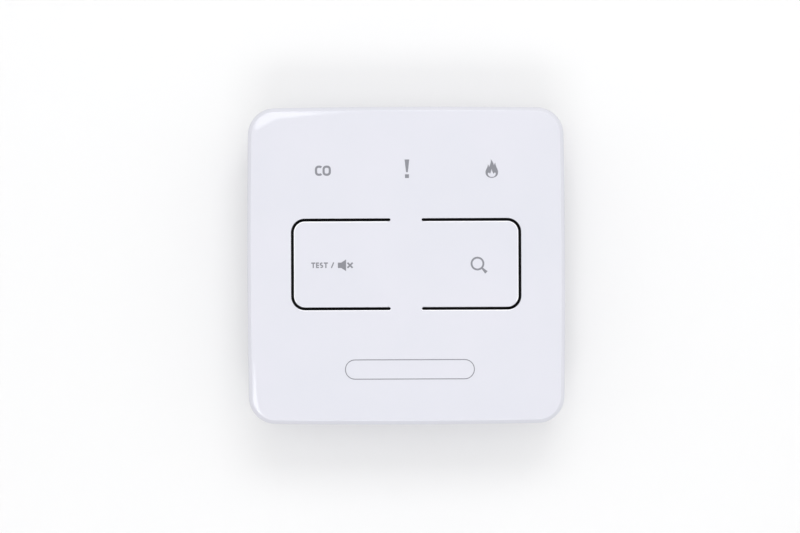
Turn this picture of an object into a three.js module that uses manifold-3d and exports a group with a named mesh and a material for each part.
// Wall-mounted control unit for linked carbon monoxide and fire alarms.
// Millimetres. While the parts are made, x runs right, y up and z out of the wall, with the wall at z = 0.
// The last group turns the unit upright: +Z up, its front facing -Y.

import * as THREE from 'three';
import { mergeVertices } from 'three/addons/utils/BufferGeometryUtils.js';
import Module from 'manifold-3d';

const wasm = await Module();
wasm.setup();

// ---- driving dimensions -------------------------------------------------------------------------

const SIDE = 86; // width and height of the front cover, at the middle of its bowed sides
const DEPTH = 25; // from the wall to the front face
const CORNER = 7; // corner radius of the cover's outline
const BOW = 0.4; // how far each side bulges at its middle
const WALL = 2; // thickness of the cover's face and side walls
const BEVEL_WIDTH = 1.05; // rim bevel, measured along the face
const BEVEL_DEPTH = 1.6; // rim bevel, measured along the depth
const SKIRT_GAP = 0.8; // the cover's rear edge stands this far off the wall
const FIT = 0.3; // gap between pieces that meet

const KEY_REACH = 30.7; // middle of the slot around a key, from the unit's centre line
const KEY_ROOT = 4.2; // where a key's flexing root begins
const ROOT_GAP = 0.15; // from there to the key, and to the cover
const KEY_HALF_HEIGHT = 12; // middle of the slot, above and below the keys' centre
const KEY_Y = 0.4; // height of the keys' centre
const KEY_CORNER = 3.4; // corner radius of the slot's middle line
const SLOT = 0.68; // slot width
const SWITCH_X = 22; // the test and locate switches, left and right of the centre line

const LIGHT_XS = [-22.4, 0.3, 23.2]; // carbon monoxide, warning and fire lights
const LIGHT_Y = 25.8;

const PLATE_WIDTH = 76;
const PLATE_HEIGHT = 72.6;
const PLATE_THICKNESS = 2.4;
const WALL_SCREW_X = 30.15; // half of the 60.3 mm spacing of a single-gang box
const UPRIGHT_SLOT_Y = 26; // the two upright screw slots, above and below the centre
const HOOK_X = 26;
const HOOK_Y = 20; // top of each hook's stem, above and below the centre
const HOOK_WIDTH = 8;
const HOOK_STEM = 2.4;
const HOOK_LIP = 3.6; // how far a hook's lip holds the housing floor
const LIFT = 4.2; // how far the unit slides up before it comes off

const FLOOR_Z = 3.4; // rear face of the housing floor
const FLOOR_THICKNESS = 1.8;
const HOUSING_SIDE = 81.2;
const HOUSING_RIM = 8; // front edge of the housing's rim
const POST_XY = 35.2; // case screws, from both centre lines
const POST_TOP = 14.1;

const BOARD_Z = 14.4; // rear face of the circuit board
const BOARD_THICKNESS = 1.6;
const BOARD_WIDTH = 77;
const BOARD_LOW = -20.5;
const BOARD_HIGH = 31.4;
const BOARD_SCREWS = [[-35, -16], [35, -16], [-35, 26.4], [35, 26.4]];

const CELL_RADIUS = 8.5;
const CELL_LENGTH = 33.5;
const CELL_Y = -31;
const CELL_Z = 14.2;

const FACE_Z = DEPTH - WALL; // rear side of the front face
const BOARD_FRONT = BOARD_Z + BOARD_THICKNESS;
const FLOOR_TOP = FLOOR_Z + FLOOR_THICKNESS;
const BOND_GAP = 0.05; // left in place of solder or adhesive
const ON_BOARD = BOARD_FRONT + BOND_GAP; // parts soldered to the board's front
const BEHIND_BOARD = BOARD_Z - BOND_GAP; // parts soldered to the board's rear
const THROUGH = 1; // how far a cutting tool runs past the piece that it cuts
const ARC_STEPS = 6; // straight steps in a quarter turn (three.js puts two in each curve segment)

// ---- materials ----------------------------------------------------------------------------------

function material(color, roughness, metalness = 0) {
  return new THREE.MeshStandardMaterial({ color, roughness, metalness });
}

const caseWhite = material(0xebebf3, 0.3);
const plateWhite = material(0xe2e3e8, 0.55);
const blackPlastic = material(0x1b1c1f, 0.5);
const greyPlastic = material(0x8d9096, 0.5);
const boardGreen = material(0x1e5c3c, 0.45);
const clearPlastic = material(0xdfe8f0, 0.15);
const ledEpoxy = material(0xf0efe0, 0.25);
const steel = material(0xb4b7ba, 0.35, 1);
const gold = material(0xd2a94e, 0.3, 1);
const cellSleeve = material(0x2b5f8f, 0.35);
const radioBlue = material(0x1f3c78, 0.45);

// ---- solids -------------------------------------------------------------------------------------

/** A closed three.js geometry as a solid that can be joined and cut. */
function solid(geometry) {
  const bare = geometry.clone();
  bare.deleteAttribute('normal');
  bare.deleteAttribute('uv');
  const merged = mergeVertices(bare, 1e-4);
  const corners = [];
  for (let i = 0; i < merged.index.count; i += 3) {
    const [a, b, c] = [0, 1, 2].map((k) => merged.index.getX(i + k));
    if (a !== b && b !== c && c !== a) corners.push(a, b, c);
  }
  return new wasm.Manifold(new wasm.Mesh({
    numProp: 3,
    vertProperties: merged.attributes.position.array,
    triVerts: Uint32Array.from(corners),
  }));
}

function join(first, ...others) {
  return others.reduce((sum, other) => sum.add(other), first);
}

function cut(first, ...tools) {
  return tools.reduce((rest, tool) => rest.subtract(tool), first);
}

/** A box centred on x, y that rises from z towards the front. */
function block(width, height, depth, x, y, z) {
  return solid(new THREE.BoxGeometry(width, height, depth).translate(x, y, z + depth / 2));
}

/** A round bar along z, centred on x, y, that rises from z towards the front. */
function rod(radius, depth, x, y, z, sides = 24) {
  const geometry = new THREE.CylinderGeometry(radius, radius, depth, sides);
  return solid(geometry.rotateX(Math.PI / 2).translate(x, y, z + depth / 2));
}

/** A flat outline made thick, rising from z towards the front. */
function slab(shape, depth, z) {
  const options = { depth, bevelEnabled: false, curveSegments: ARC_STEPS / 2 };
  return solid(new THREE.ExtrudeGeometry(shape, options).translate(0, 0, z));
}

/** A profile of [radius, z] points, from the axis round to the axis, turned about z. */
function turned(profile, sides = 24) {
  const points = profile.map(([radius, z]) => new THREE.Vector2(radius, z));
  return solid(new THREE.LatheGeometry(points, sides).rotateX(Math.PI / 2));
}

/** A wire of round section along a curve. */
function wire(curve, radius, steps, sides = 6) {
  const section = new THREE.Shape().absarc(0, 0, radius, 0, Math.PI * 2);
  return solid(new THREE.ExtrudeGeometry(section, {
    steps,
    extrudePath: curve,
    curveSegments: sides / 2,
    bevelEnabled: false,
  }));
}

/** A rectangle with rounded corners, centred on x, y. */
function roundedRectangle(width, height, radius, x = 0, y = 0) {
  const shape = new THREE.Shape();
  const [left, right] = [x - width / 2, x + width / 2];
  const [low, high] = [y - height / 2, y + height / 2];
  const quarter = Math.PI / 2;
  shape.absarc(right - radius, low + radius, radius, -quarter, 0);
  shape.absarc(right - radius, high - radius, radius, 0, quarter);
  shape.absarc(left + radius, high - radius, radius, quarter, 2 * quarter);
  shape.absarc(left + radius, low + radius, radius, 2 * quarter, 3 * quarter);
  return shape;
}

/** A square with rounded corners whose sides bulge by bow at their middles. */
function bowedSquare(side, radius, bow) {
  const half = side / 2 - bow;
  const sideSteps = 6;
  const points = [];
  for (let corner = 0; corner < 4; corner++) {
    const turn = corner * Math.PI / 2;
    const centre = new THREE.Vector2(half - radius, half - radius);
    for (let i = 0; i <= ARC_STEPS; i++) {
      const angle = i / ARC_STEPS * Math.PI / 2;
      const point = new THREE.Vector2(Math.cos(angle), Math.sin(angle)).multiplyScalar(radius).add(centre);
      points.push(point.rotateAround(new THREE.Vector2(), turn));
    }
    const sideEnd = new THREE.Vector2(radius - half, half);
    for (let i = 1; i < sideSteps; i++) {
      const point = new THREE.Vector2(half - radius, half).lerp(sideEnd, i / sideSteps);
      points.push(point.rotateAround(new THREE.Vector2(), turn));
    }
  }
  const bulged = points.map(({ x, y }) => new THREE.Vector2(
    x + bow * x / half * (1 - (y / half) ** 2),
    y + bow * y / half * (1 - (x / half) ** 2),
  ));
  return new THREE.Shape(bulged);
}

/** A key's outline, or its window's, grown outwards by growth. It lies on the side of the sign. */
function keyOutline(sign, growth, root) {
  const reach = KEY_REACH + growth;
  const halfHeight = KEY_HALF_HEIGHT + growth;
  const radius = KEY_CORNER + growth;
  const shape = new THREE.Shape();
  shape.moveTo(root, KEY_Y - halfHeight);
  shape.lineTo(reach - radius, KEY_Y - halfHeight);
  shape.absarc(reach - radius, KEY_Y - halfHeight + radius, radius, -Math.PI / 2, 0);
  shape.absarc(reach - radius, KEY_Y + halfHeight - radius, radius, 0, Math.PI / 2);
  shape.lineTo(root, KEY_Y + halfHeight);
  const points = shape.getPoints(ARC_STEPS / 2).map(({ x, y }) => new THREE.Vector2(sign * x, y));
  return new THREE.Shape(points);
}

/** The four places [x, y] at the same distances from both centre lines. */
function fourCorners(x, y = x) {
  return [[-x, -y], [x, -y], [-x, y], [x, y]];
}

// ---- the scene graph ----------------------------------------------------------------------------

const unit = new THREE.Group();

/** Adds a solid to the unit as a named mesh, moved to its place. */
function place(name, shape, finish, position = [0, 0, 0], rotation = [0, 0, 0]) {
  const mesh = shape.getMesh();
  const geometry = new THREE.BufferGeometry();
  geometry.setAttribute('position', new THREE.BufferAttribute(mesh.vertProperties, 3));
  geometry.setIndex(new THREE.BufferAttribute(mesh.triVerts, 1));
  const faceted = geometry.toNonIndexed();
  faceted.computeVertexNormals();
  const part = new THREE.Mesh(faceted, finish);
  part.name = name;
  part.position.set(...position);
  part.rotation.set(...rotation);
  unit.add(part);
}

// ---- wall plate ---------------------------------------------------------------------------------

const SCREW_SLOT = { length: 9, width: 4.6, headLength: 13, headWidth: 8.6, headDepth: 1 };

/** A screw slot through the plate, with a recess for the screw's head. */
function screwSlot(x, y, upright) {
  const turn = ([length, width]) => (upright ? [width, length] : [length, width]);
  const [width, height] = turn([SCREW_SLOT.length, SCREW_SLOT.width]);
  const [headWidth, headHeight] = turn([SCREW_SLOT.headLength, SCREW_SLOT.headWidth]);
  const shank = roundedRectangle(width, height, SCREW_SLOT.width / 2 - 0.01, x, y);
  const head = roundedRectangle(headWidth, headHeight, SCREW_SLOT.headWidth / 2 - 0.01, x, y);
  return slab(shank, PLATE_THICKNESS + 2 * THROUGH, -THROUGH)
    .add(slab(head, SCREW_SLOT.headDepth + THROUGH, PLATE_THICKNESS - SCREW_SLOT.headDepth));
}

/** A hook that stands on the plate, passes through the housing floor and turns up in front of it. */
function hook(x, top) {
  const lipDepth = 1.5;
  const tip = FLOOR_TOP + FIT + lipDepth;
  const rootZ = PLATE_THICKNESS - FIT;
  const stem = block(HOOK_WIDTH, HOOK_STEM, tip - rootZ, x, top - HOOK_STEM / 2, rootZ);
  const lipHeight = HOOK_STEM + HOOK_LIP;
  const lip = block(HOOK_WIDTH, lipHeight, lipDepth, x, top - HOOK_STEM + lipHeight / 2, tip - lipDepth);
  return stem.add(lip);
}

function wallPlate() {
  const rib = { width: 1.4, height: 0.6, inset: 0.4 };
  const corner = 5;
  const outline = (inset) => {
    return roundedRectangle(PLATE_WIDTH - 2 * inset, PLATE_HEIGHT - 2 * inset, corner - inset);
  };
  const base = slab(outline(0), PLATE_THICKNESS, 0);
  const ribOuter = slab(outline(rib.inset), rib.height + FIT, PLATE_THICKNESS - FIT);
  const ribHole = slab(outline(rib.inset + rib.width), rib.height + THROUGH, PLATE_THICKNESS);
  const hooks = fourCorners(HOOK_X, HOOK_Y).map(([x, y]) => hook(x, y));
  return cut(
    join(base, cut(ribOuter, ribHole), ...hooks),
    screwSlot(-WALL_SCREW_X, 0, false),
    screwSlot(WALL_SCREW_X, 0, false),
    screwSlot(0, -UPRIGHT_SLOT_Y, true),
    screwSlot(0, UPRIGHT_SLOT_Y, true),
  );
}

place('wall_plate', wallPlate(), plateWhite);

// ---- rear housing -------------------------------------------------------------------------------

const CASE_HEAD = { radius: 2.7, depth: 1.8, recess: 3 };
const CASE_SHANK_RADIUS = 1.5;
const PAIRING_PLACE = [22, 6];
const POWER_PLACE = [-22, 6];
const POWER_TRAVEL = 3;

/** The window that a hook enters: it also leaves room below for the unit to be lifted. */
function hookWindow(x, top) {
  const side = 0.5;
  const above = 0.15;
  const below = HOOK_STEM + LIFT + 0.4;
  const height = above + below;
  return block(HOOK_WIDTH + 2 * side, height, FLOOR_THICKNESS + 2 * THROUGH, x, top + above - height / 2,
    FLOOR_Z - THROUGH);
}

/** A post that stands on the housing floor. */
function post(radius, x, y) {
  return rod(radius, POST_TOP - FLOOR_TOP + FIT, x, y, FLOOR_TOP - FIT);
}

/** The bores that a case screw's head and shank need. */
function casePostBores(x, y) {
  const head = rod(CASE_HEAD.radius + 0.4, CASE_HEAD.recess + THROUGH, x, y, FLOOR_Z - THROUGH);
  return head.add(rod(CASE_SHANK_RADIUS + 0.2, POST_TOP + THROUGH, x, y, FLOOR_Z));
}

/** Two ribs with round hollows that carry the cell, and a stop past each of its tabs. */
function cellCradle() {
  const rib = { x: 11, thickness: 2, width: 17, height: 6 };
  const stop = { x: 20.6, thickness: 1.6, width: 12 };
  const radius = CELL_RADIUS + FIT;
  const height = rib.height + FIT;
  const hollow = new THREE.CylinderGeometry(radius, radius, CELL_LENGTH, 32)
    .rotateZ(Math.PI / 2)
    .translate(0, CELL_Y, CELL_Z);
  const rise = (piece, x) => block(piece.thickness, piece.width, height, x, CELL_Y, FLOOR_TOP - FIT);
  const ribs = [-rib.x, rib.x].map((x) => rise(rib, x));
  const stops = [-stop.x, stop.x].map((x) => rise(stop, x));
  return join(cut(join(...ribs), solid(hollow)), ...stops);
}

function rearHousing() {
  const rimThickness = 1.6;
  const tray = slab(roundedRectangle(HOUSING_SIDE, HOUSING_SIDE, 5), HOUSING_RIM - FLOOR_Z, FLOOR_Z);
  const innerSide = HOUSING_SIDE - 2 * rimThickness;
  const hollow = slab(roundedRectangle(innerSide, innerSide, 3.4), HOUSING_RIM, FLOOR_TOP);
  const casePosts = fourCorners(POST_XY).map(([x, y]) => post(4.2, x, y));
  const boardPosts = BOARD_SCREWS.map(([x, y]) => post(3, x, y));
  const [pairingX, pairingY] = PAIRING_PLACE;
  const [powerX, powerY] = POWER_PLACE;
  return cut(
    join(cut(tray, hollow), ...casePosts, ...boardPosts, cellCradle()),
    ...fourCorners(POST_XY).map(([x, y]) => casePostBores(x, y)),
    ...BOARD_SCREWS.map(([x, y]) => rod(1.25, POST_TOP, x, y, FLOOR_TOP + 3)),
    ...fourCorners(HOOK_X, HOOK_Y).map(([x, y]) => hookWindow(x, y)),
    rod(3, FLOOR_THICKNESS + 2 * THROUGH, pairingX, pairingY, FLOOR_Z - THROUGH),
    block(3.4 + POWER_TRAVEL + 0.8, 4.2, FLOOR_THICKNESS + 2 * THROUGH, powerX - POWER_TRAVEL / 2, powerY,
      FLOOR_Z - THROUGH),
  );
}

place('rear_housing', rearHousing(), caseWhite);

// ---- front cover and its two keys ---------------------------------------------------------------

const LIGHT_POCKET = { width: 9, height: 8, depth: 1.2 };
const BOSS_END = BOARD_Z; // rear end of the bosses that the case screws bite into

function frontCover() {
  const bevel = { bevelSize: BEVEL_WIDTH, bevelThickness: BEVEL_DEPTH, bevelOffset: -BEVEL_WIDTH };
  const outer = new THREE.ExtrudeGeometry(bowedSquare(SIDE, CORNER, BOW), {
    depth: DEPTH,
    bevelSegments: 1,
    ...bevel,
  });
  const shell = solid(outer.translate(0, 0, -BEVEL_DEPTH));
  const behind = block(2 * SIDE, 2 * SIDE, DEPTH, 0, 0, SKIRT_GAP - DEPTH);
  const innerSide = SIDE - 2 * WALL;
  const hollow = slab(roundedRectangle(innerSide, innerSide, CORNER - WALL), FACE_Z, 0);
  const bosses = fourCorners(POST_XY).map(([x, y]) => rod(3, FACE_Z - BOSS_END + FIT, x, y, BOSS_END));
  const pilots = fourCorners(POST_XY).map(([x, y]) => rod(1.65, 6.6 + THROUGH, x, y, BOSS_END - THROUGH));
  const pockets = LIGHT_XS.map((x) => block(LIGHT_POCKET.width, LIGHT_POCKET.height,
    LIGHT_POCKET.depth + THROUGH, x, LIGHT_Y, FACE_Z - THROUGH));
  const windows = [-1, 1].map((sign) => {
    return slab(keyOutline(sign, SLOT / 2, KEY_ROOT - ROOT_GAP), 2 * WALL, FACE_Z - THROUGH);
  });
  return cut(join(cut(shell, behind, hollow), ...bosses), ...pilots, ...pockets, ...windows);
}

/** A key with the stud on its rear that presses its switch. */
function key(sign) {
  const stud = { radius: 2, end: 20.4 };
  const flap = slab(keyOutline(sign, -SLOT / 2, KEY_ROOT + ROOT_GAP), WALL, FACE_Z);
  return flap.add(rod(stud.radius, FACE_Z - stud.end + FIT, sign * SWITCH_X, KEY_Y, stud.end));
}

/** A rectangular frame around both keys, from near to far from the middle of their slots. */
function slotFrame(near, far, depth, z) {
  const outline = (growth) => {
    const [width, height] = [2 * (KEY_REACH + growth), 2 * (KEY_HALF_HEIGHT + growth)];
    return roundedRectangle(width, height, KEY_CORNER + growth, 0, KEY_Y);
  };
  return cut(slab(outline(far), depth, z), slab(outline(near), depth + 2 * THROUGH, z - THROUGH));
}

/** The dark frame bonded behind the face. Its lip shuts off the view through the slots. */
function keySurround() {
  const [rear, lipFront, front] = [21.7, 22.2, FACE_Z - BOND_GAP];
  return join(slotFrame(-1.6, 2.4, lipFront - rear, rear), slotFrame(0.9, 2.4, front - rear, rear));
}

place('front_cover', frontCover(), caseWhite);
place('test_key', key(-1), caseWhite);
place('locate_key', key(1), caseWhite);
place('key_surround', keySurround(), blackPlastic);

// ---- screws -------------------------------------------------------------------------------------

/** A screw along z with a cross recess, its head's top at z = 0 and its tip at z = length. */
function screw(headRadius, headDepth, shankRadius, length) {
  const body = turned([
    [0, 0],
    [headRadius * 0.9, 0],
    [headRadius, headDepth * 0.3],
    [headRadius, headDepth],
    [shankRadius, headDepth],
    [shankRadius, length - shankRadius],
    [shankRadius * 0.4, length],
    [0, length],
  ]);
  const recess = headDepth * 0.7;
  const [long, short] = [headRadius * 1.1, headRadius * 0.28];
  const wings = [[long, short], [short, long]].map(([x, y]) => block(x, y, 2 * recess, 0, 0, -recess));
  return cut(body, ...wings);
}

const caseScrew = screw(CASE_HEAD.radius, CASE_HEAD.depth, CASE_SHANK_RADIUS, 15.6);
const CASE_SCREW_Z = FLOOR_Z + CASE_HEAD.recess - CASE_HEAD.depth - FIT;
fourCorners(POST_XY).forEach(([x, y], i) => {
  place(`case_screw_${i + 1}`, caseScrew, steel, [x, y, CASE_SCREW_Z]);
});

const BOARD_HEAD_DEPTH = 1.5;
const boardScrew = screw(2.1, BOARD_HEAD_DEPTH, 1.05, 8);
BOARD_SCREWS.forEach(([x, y], i) => {
  const headTop = ON_BOARD + BOARD_HEAD_DEPTH;
  place(`board_screw_${i + 1}`, boardScrew, steel, [x, y, headTop], [Math.PI, 0, 0]);
});

// ---- circuit board ------------------------------------------------------------------------------

function circuitBoard() {
  const height = BOARD_HIGH - BOARD_LOW;
  const outline = roundedRectangle(BOARD_WIDTH, height, 1.2, 0, (BOARD_HIGH + BOARD_LOW) / 2);
  const board = slab(outline, BOARD_THICKNESS, BOARD_Z);
  const depth = BOARD_THICKNESS + 2 * THROUGH;
  const holes = BOARD_SCREWS.map(([x, y]) => rod(1.35, depth, x, y, BOARD_Z - THROUGH));
  return cut(board, ...holes);
}

place('circuit_board', circuitBoard(), boardGreen);

// ---- lights -------------------------------------------------------------------------------------

const LIGHT_NAMES = ['carbon_monoxide', 'warning', 'fire'];

function led() {
  const body = block(3.2, 2.8, 0.9, 0, 0, 0);
  const lens = turned([[0, 0.6], [1.2, 0.6], [1.2, 1.2], [0.9, 1.6], [0, 1.8]], 16);
  return body.add(lens);
}

function lightShroud() {
  const centre = (LIGHT_XS[0] + LIGHT_XS[2]) / 2;
  const body = block(57, 10.4, 5.2, centre, LIGHT_Y, ON_BOARD + FIT);
  const wells = LIGHT_XS.map((x) => block(8.6, 7.6, 20, x, LIGHT_Y, BOARD_FRONT - THROUGH));
  return cut(body, ...wells);
}

/** A light pipe: a narrow foot over the LED that widens to fill the pocket behind the face. */
function lightPipe() {
  const foot = new THREE.CylinderGeometry(4 * Math.SQRT2, 2.2 * Math.SQRT2, 2.4, 4, 1);
  const taper = solid(foot.rotateX(Math.PI / 2).rotateZ(Math.PI / 4).translate(0, 0, 1.2));
  return cut(
    taper.add(block(8, 7, 3.3, 0, 0, 2.4)),
    block(20, 20, 4, 0, 13.5, -THROUGH),
    block(20, 20, 4, 0, -13.5, -THROUGH),
  );
}

const PIPE_Z = ON_BOARD + 2.15;
LIGHT_XS.forEach((x, i) => {
  place(`${LIGHT_NAMES[i]}_led`, led(), ledEpoxy, [x, LIGHT_Y, ON_BOARD]);
  place(`${LIGHT_NAMES[i]}_light_pipe`, lightPipe(), clearPlastic, [x, LIGHT_Y, PIPE_Z]);
});
place('light_shroud', lightShroud(), blackPlastic);

// ---- switches -----------------------------------------------------------------------------------

const TACT = { side: 6, height: 3.4, bore: 2.1, boreDepth: 1.3 };
const PLUNGER = { radius: 1.75, length: 1.6, lift: 0.5 };

/** A tactile switch's body, rising from z = 0, with the bore that its plunger moves in. */
function tactBody() {
  const body = block(TACT.side, TACT.side, TACT.height, 0, 0, 0);
  return cut(body, rod(TACT.bore, TACT.boreDepth + THROUGH, 0, 0, TACT.height - TACT.boreDepth));
}

/** A switch and its plunger, on the board's front, or on its rear when facing is -1. */
function placeSwitch(name, x, y, facing) {
  const base = facing > 0 ? ON_BOARD : BEHIND_BOARD;
  const rotation = facing > 0 ? [0, 0, 0] : [Math.PI, 0, 0];
  const plungerZ = base + facing * (TACT.height - TACT.boreDepth + PLUNGER.lift);
  const plunger = rod(PLUNGER.radius, PLUNGER.length, 0, 0, 0);
  place(`${name}_switch`, tactBody(), blackPlastic, [x, y, base], rotation);
  place(`${name}_plunger`, plunger, greyPlastic, [x, y, plungerZ], rotation);
}

placeSwitch('test', -SWITCH_X, KEY_Y, 1);
placeSwitch('locate', SWITCH_X, KEY_Y, 1);
placeSwitch('pairing', ...PAIRING_PLACE, -1);

/** The rear button over the pairing switch: a stem in the housing floor with a flange inside. */
function pairingButton() {
  const rear = FLOOR_Z + 0.5;
  const flange = FLOOR_TOP + 0.2;
  const plungerGap = 0.05;
  const plungerEnd = BEHIND_BOARD - TACT.height + TACT.boreDepth - PLUNGER.lift - PLUNGER.length;
  const front = plungerEnd - plungerGap;
  return turned([
    [0, rear],
    [2.4, rear],
    [2.7, rear + 0.3],
    [2.7, flange],
    [4, flange],
    [4, flange + 1],
    [1.8, flange + 1.6],
    [1.8, front],
    [0, front],
  ]);
}

place('pairing_button', pairingButton(), greyPlastic, [...PAIRING_PLACE, 0]);

/** The power switch behind the board, its slot, and the slider that reaches the housing floor. */
function powerSwitch() {
  const depth = 3.6;
  const base = BEHIND_BOARD - depth;
  const body = block(11, 4.6, depth, -POWER_TRAVEL / 2, 0, base);
  return cut(body, block(2 + POWER_TRAVEL + 0.8, 2.6, 2 + THROUGH, -POWER_TRAVEL / 2, 0, base - THROUGH));
}

function powerSlider() {
  const rear = FLOOR_Z + 0.4;
  const knob = block(3.4, 3.4, 1.6, 0, 0, rear);
  const ridge = block(0.5, 3.4, 1, 0, 0, rear - 0.3);
  const stem = block(2, 2, 7, 0, 0, rear + 1.2);
  return join(knob, stem, ridge);
}

place('power_switch', powerSwitch(), blackPlastic, [...POWER_PLACE, 0]);
place('power_slider', powerSlider(), greyPlastic, [...POWER_PLACE, 0]);

// ---- circuit parts ------------------------------------------------------------------------------

/** A chip package with a row of legs along two or along four sides. */
function chip(width, height, thickness, legs, sides) {
  const leg = { width: 0.35, reach: 0.9, hidden: 0.5, thickness: 0.3 };
  const body = block(width, height, thickness, 0, 0, leg.thickness - 0.1);
  const rows = [];
  for (let side = 0; side < sides; side++) {
    const upright = side >= 2;
    const sign = side % 2 ? 1 : -1;
    const [edge, span] = upright ? [height / 2, width - 1] : [width / 2, height - 1];
    const out = sign * (edge + (leg.reach - leg.hidden) / 2);
    const long = leg.reach + leg.hidden;
    for (let i = 0; i < legs; i++) {
      const along = ((i + 0.5) / legs - 0.5) * span;
      rows.push(upright
        ? block(leg.width, long, leg.thickness, along, out, 0)
        : block(long, leg.width, leg.thickness, out, along, 0));
    }
  }
  return join(body, ...rows);
}

place('microcontroller', chip(9, 9, 1.3, 8, 4), blackPlastic, [0, 1, ON_BOARD]);
place('memory_chip', chip(5, 4, 1.4, 4, 2), blackPlastic, [11, -9, ON_BOARD]);
place('voltage_regulator', chip(3.4, 3, 1.1, 3, 2), blackPlastic, [-27, -15.5, ON_BOARD]);

function inductor() {
  const base = block(6.4, 6.4, 0.6, 0, 0, 0);
  const drum = [[0, 0.4], [3, 0.4], [3, 1], [2.4, 1.4], [2.4, 2.4], [3, 2.8], [3, 3.4], [0, 3.4]];
  return base.add(turned(drum));
}

function capacitor() {
  const base = block(6.6, 6.6, 0.8, 0, 0, 0);
  const can = [[0, 0.6], [3.1, 0.6], [3.1, 1.4], [2.9, 1.7], [3.1, 2], [3.1, 4.9], [2.8, 5.2], [0, 5.2]];
  return base.add(turned(can));
}

place('inductor', inductor(), greyPlastic, [-29, -9, ON_BOARD]);
place('capacitor', capacitor(), steel, [-33.5, 6, ON_BOARD]);
place('crystal', slab(roundedRectangle(10.4, 4.4, 2.19), 3, 0), steel, [8, 14.5, ON_BOARD]);

/** A two by three pin header. */
function programmingHeader() {
  const pitch = 2.54;
  const pins = [];
  for (const column of [-1, 0, 1]) {
    for (const row of [-0.5, 0.5]) pins.push(block(0.64, 0.64, 5.4, column * pitch, row * pitch, 0));
  }
  return join(block(3 * pitch, 2 * pitch, 2.4, 0, 0, 0.2), ...pins);
}

place('programming_header', programmingHeader(), blackPlastic, [-11, 15, ON_BOARD]);

// ---- radio --------------------------------------------------------------------------------------

const RADIO_PLACE = [-4, -13];
const RADIO_BOARD_THICKNESS = 0.8;

/** A coil of wire along x, with a straight end that goes down to the board. */
function antenna() {
  const coil = { radius: 2.1, wire: 0.4, pitch: 1.9, turns: 8 };
  const stepsPerTurn = 12;
  const steps = coil.turns * stepsPerTurn;
  const points = Array.from({ length: steps + 1 }, (_, i) => {
    const angle = i / stepsPerTurn * Math.PI * 2;
    const x = coil.pitch * i / stepsPerTurn;
    return new THREE.Vector3(x, coil.radius * Math.sin(angle), -coil.radius * Math.cos(angle));
  });
  const lead = rod(coil.wire, 1, 0, 0, -coil.radius - 0.6, 8);
  return wire(new THREE.CatmullRomCurve3(points), coil.wire, steps).add(lead);
}

place('radio_board', slab(roundedRectangle(17, 13, 0.6), RADIO_BOARD_THICKNESS, 0), radioBlue,
  [...RADIO_PLACE, ON_BOARD]);
place('radio_shield', slab(roundedRectangle(12, 10, 0.5), 2.2, 0), steel,
  [RADIO_PLACE[0] - 1.5, RADIO_PLACE[1], ON_BOARD + RADIO_BOARD_THICKNESS + BOND_GAP]);
place('radio_antenna', antenna(), gold, [17, -11.5, ON_BOARD + 2.8]);

// ---- cell ---------------------------------------------------------------------------------------

/** The cell lies along x, its raised positive end to the right. */
function batteryCell() {
  const half = CELL_LENGTH / 2;
  const edge = 0.8;
  return turned([
    [0, -half],
    [CELL_RADIUS - 2, -half],
    [CELL_RADIUS - edge, -half + 0.1],
    [CELL_RADIUS, -half + edge],
    [CELL_RADIUS, half - edge],
    [CELL_RADIUS - edge, half - 0.1],
    [3.2, half],
    [3, half + 0.9],
    [0, half + 0.9],
  ], 32);
}

place('battery_cell', batteryCell(), cellSleeve, [-0.5, CELL_Y, CELL_Z], [0, Math.PI / 2, 0]);

/** A sheet tab that stands against the cell's end and reaches over the board's lower edge. */
function cellTab() {
  const thickness = 0.3;
  const top = ON_BOARD + 1.6;
  const flag = block(thickness, 4, top - CELL_Z + 2, 0, CELL_Y, CELL_Z - 2);
  const arm = block(thickness, -CELL_Y + BOARD_LOW + 4, 1.5, 0, (CELL_Y + BOARD_LOW + 4) / 2, top - 1.5);
  return flag.add(arm);
}

place('positive_cell_tab', cellTab(), steel, [CELL_LENGTH / 2 + 0.8, 0, 0]);
place('negative_cell_tab', cellTab(), steel, [-CELL_LENGTH / 2 - 1, 0, 0]);

// ---- upright on the wall ------------------------------------------------------------------------

unit.rotation.x = Math.PI / 2;

const controlUnit = new THREE.Group();
controlUnit.add(unit);

export default controlUnit;
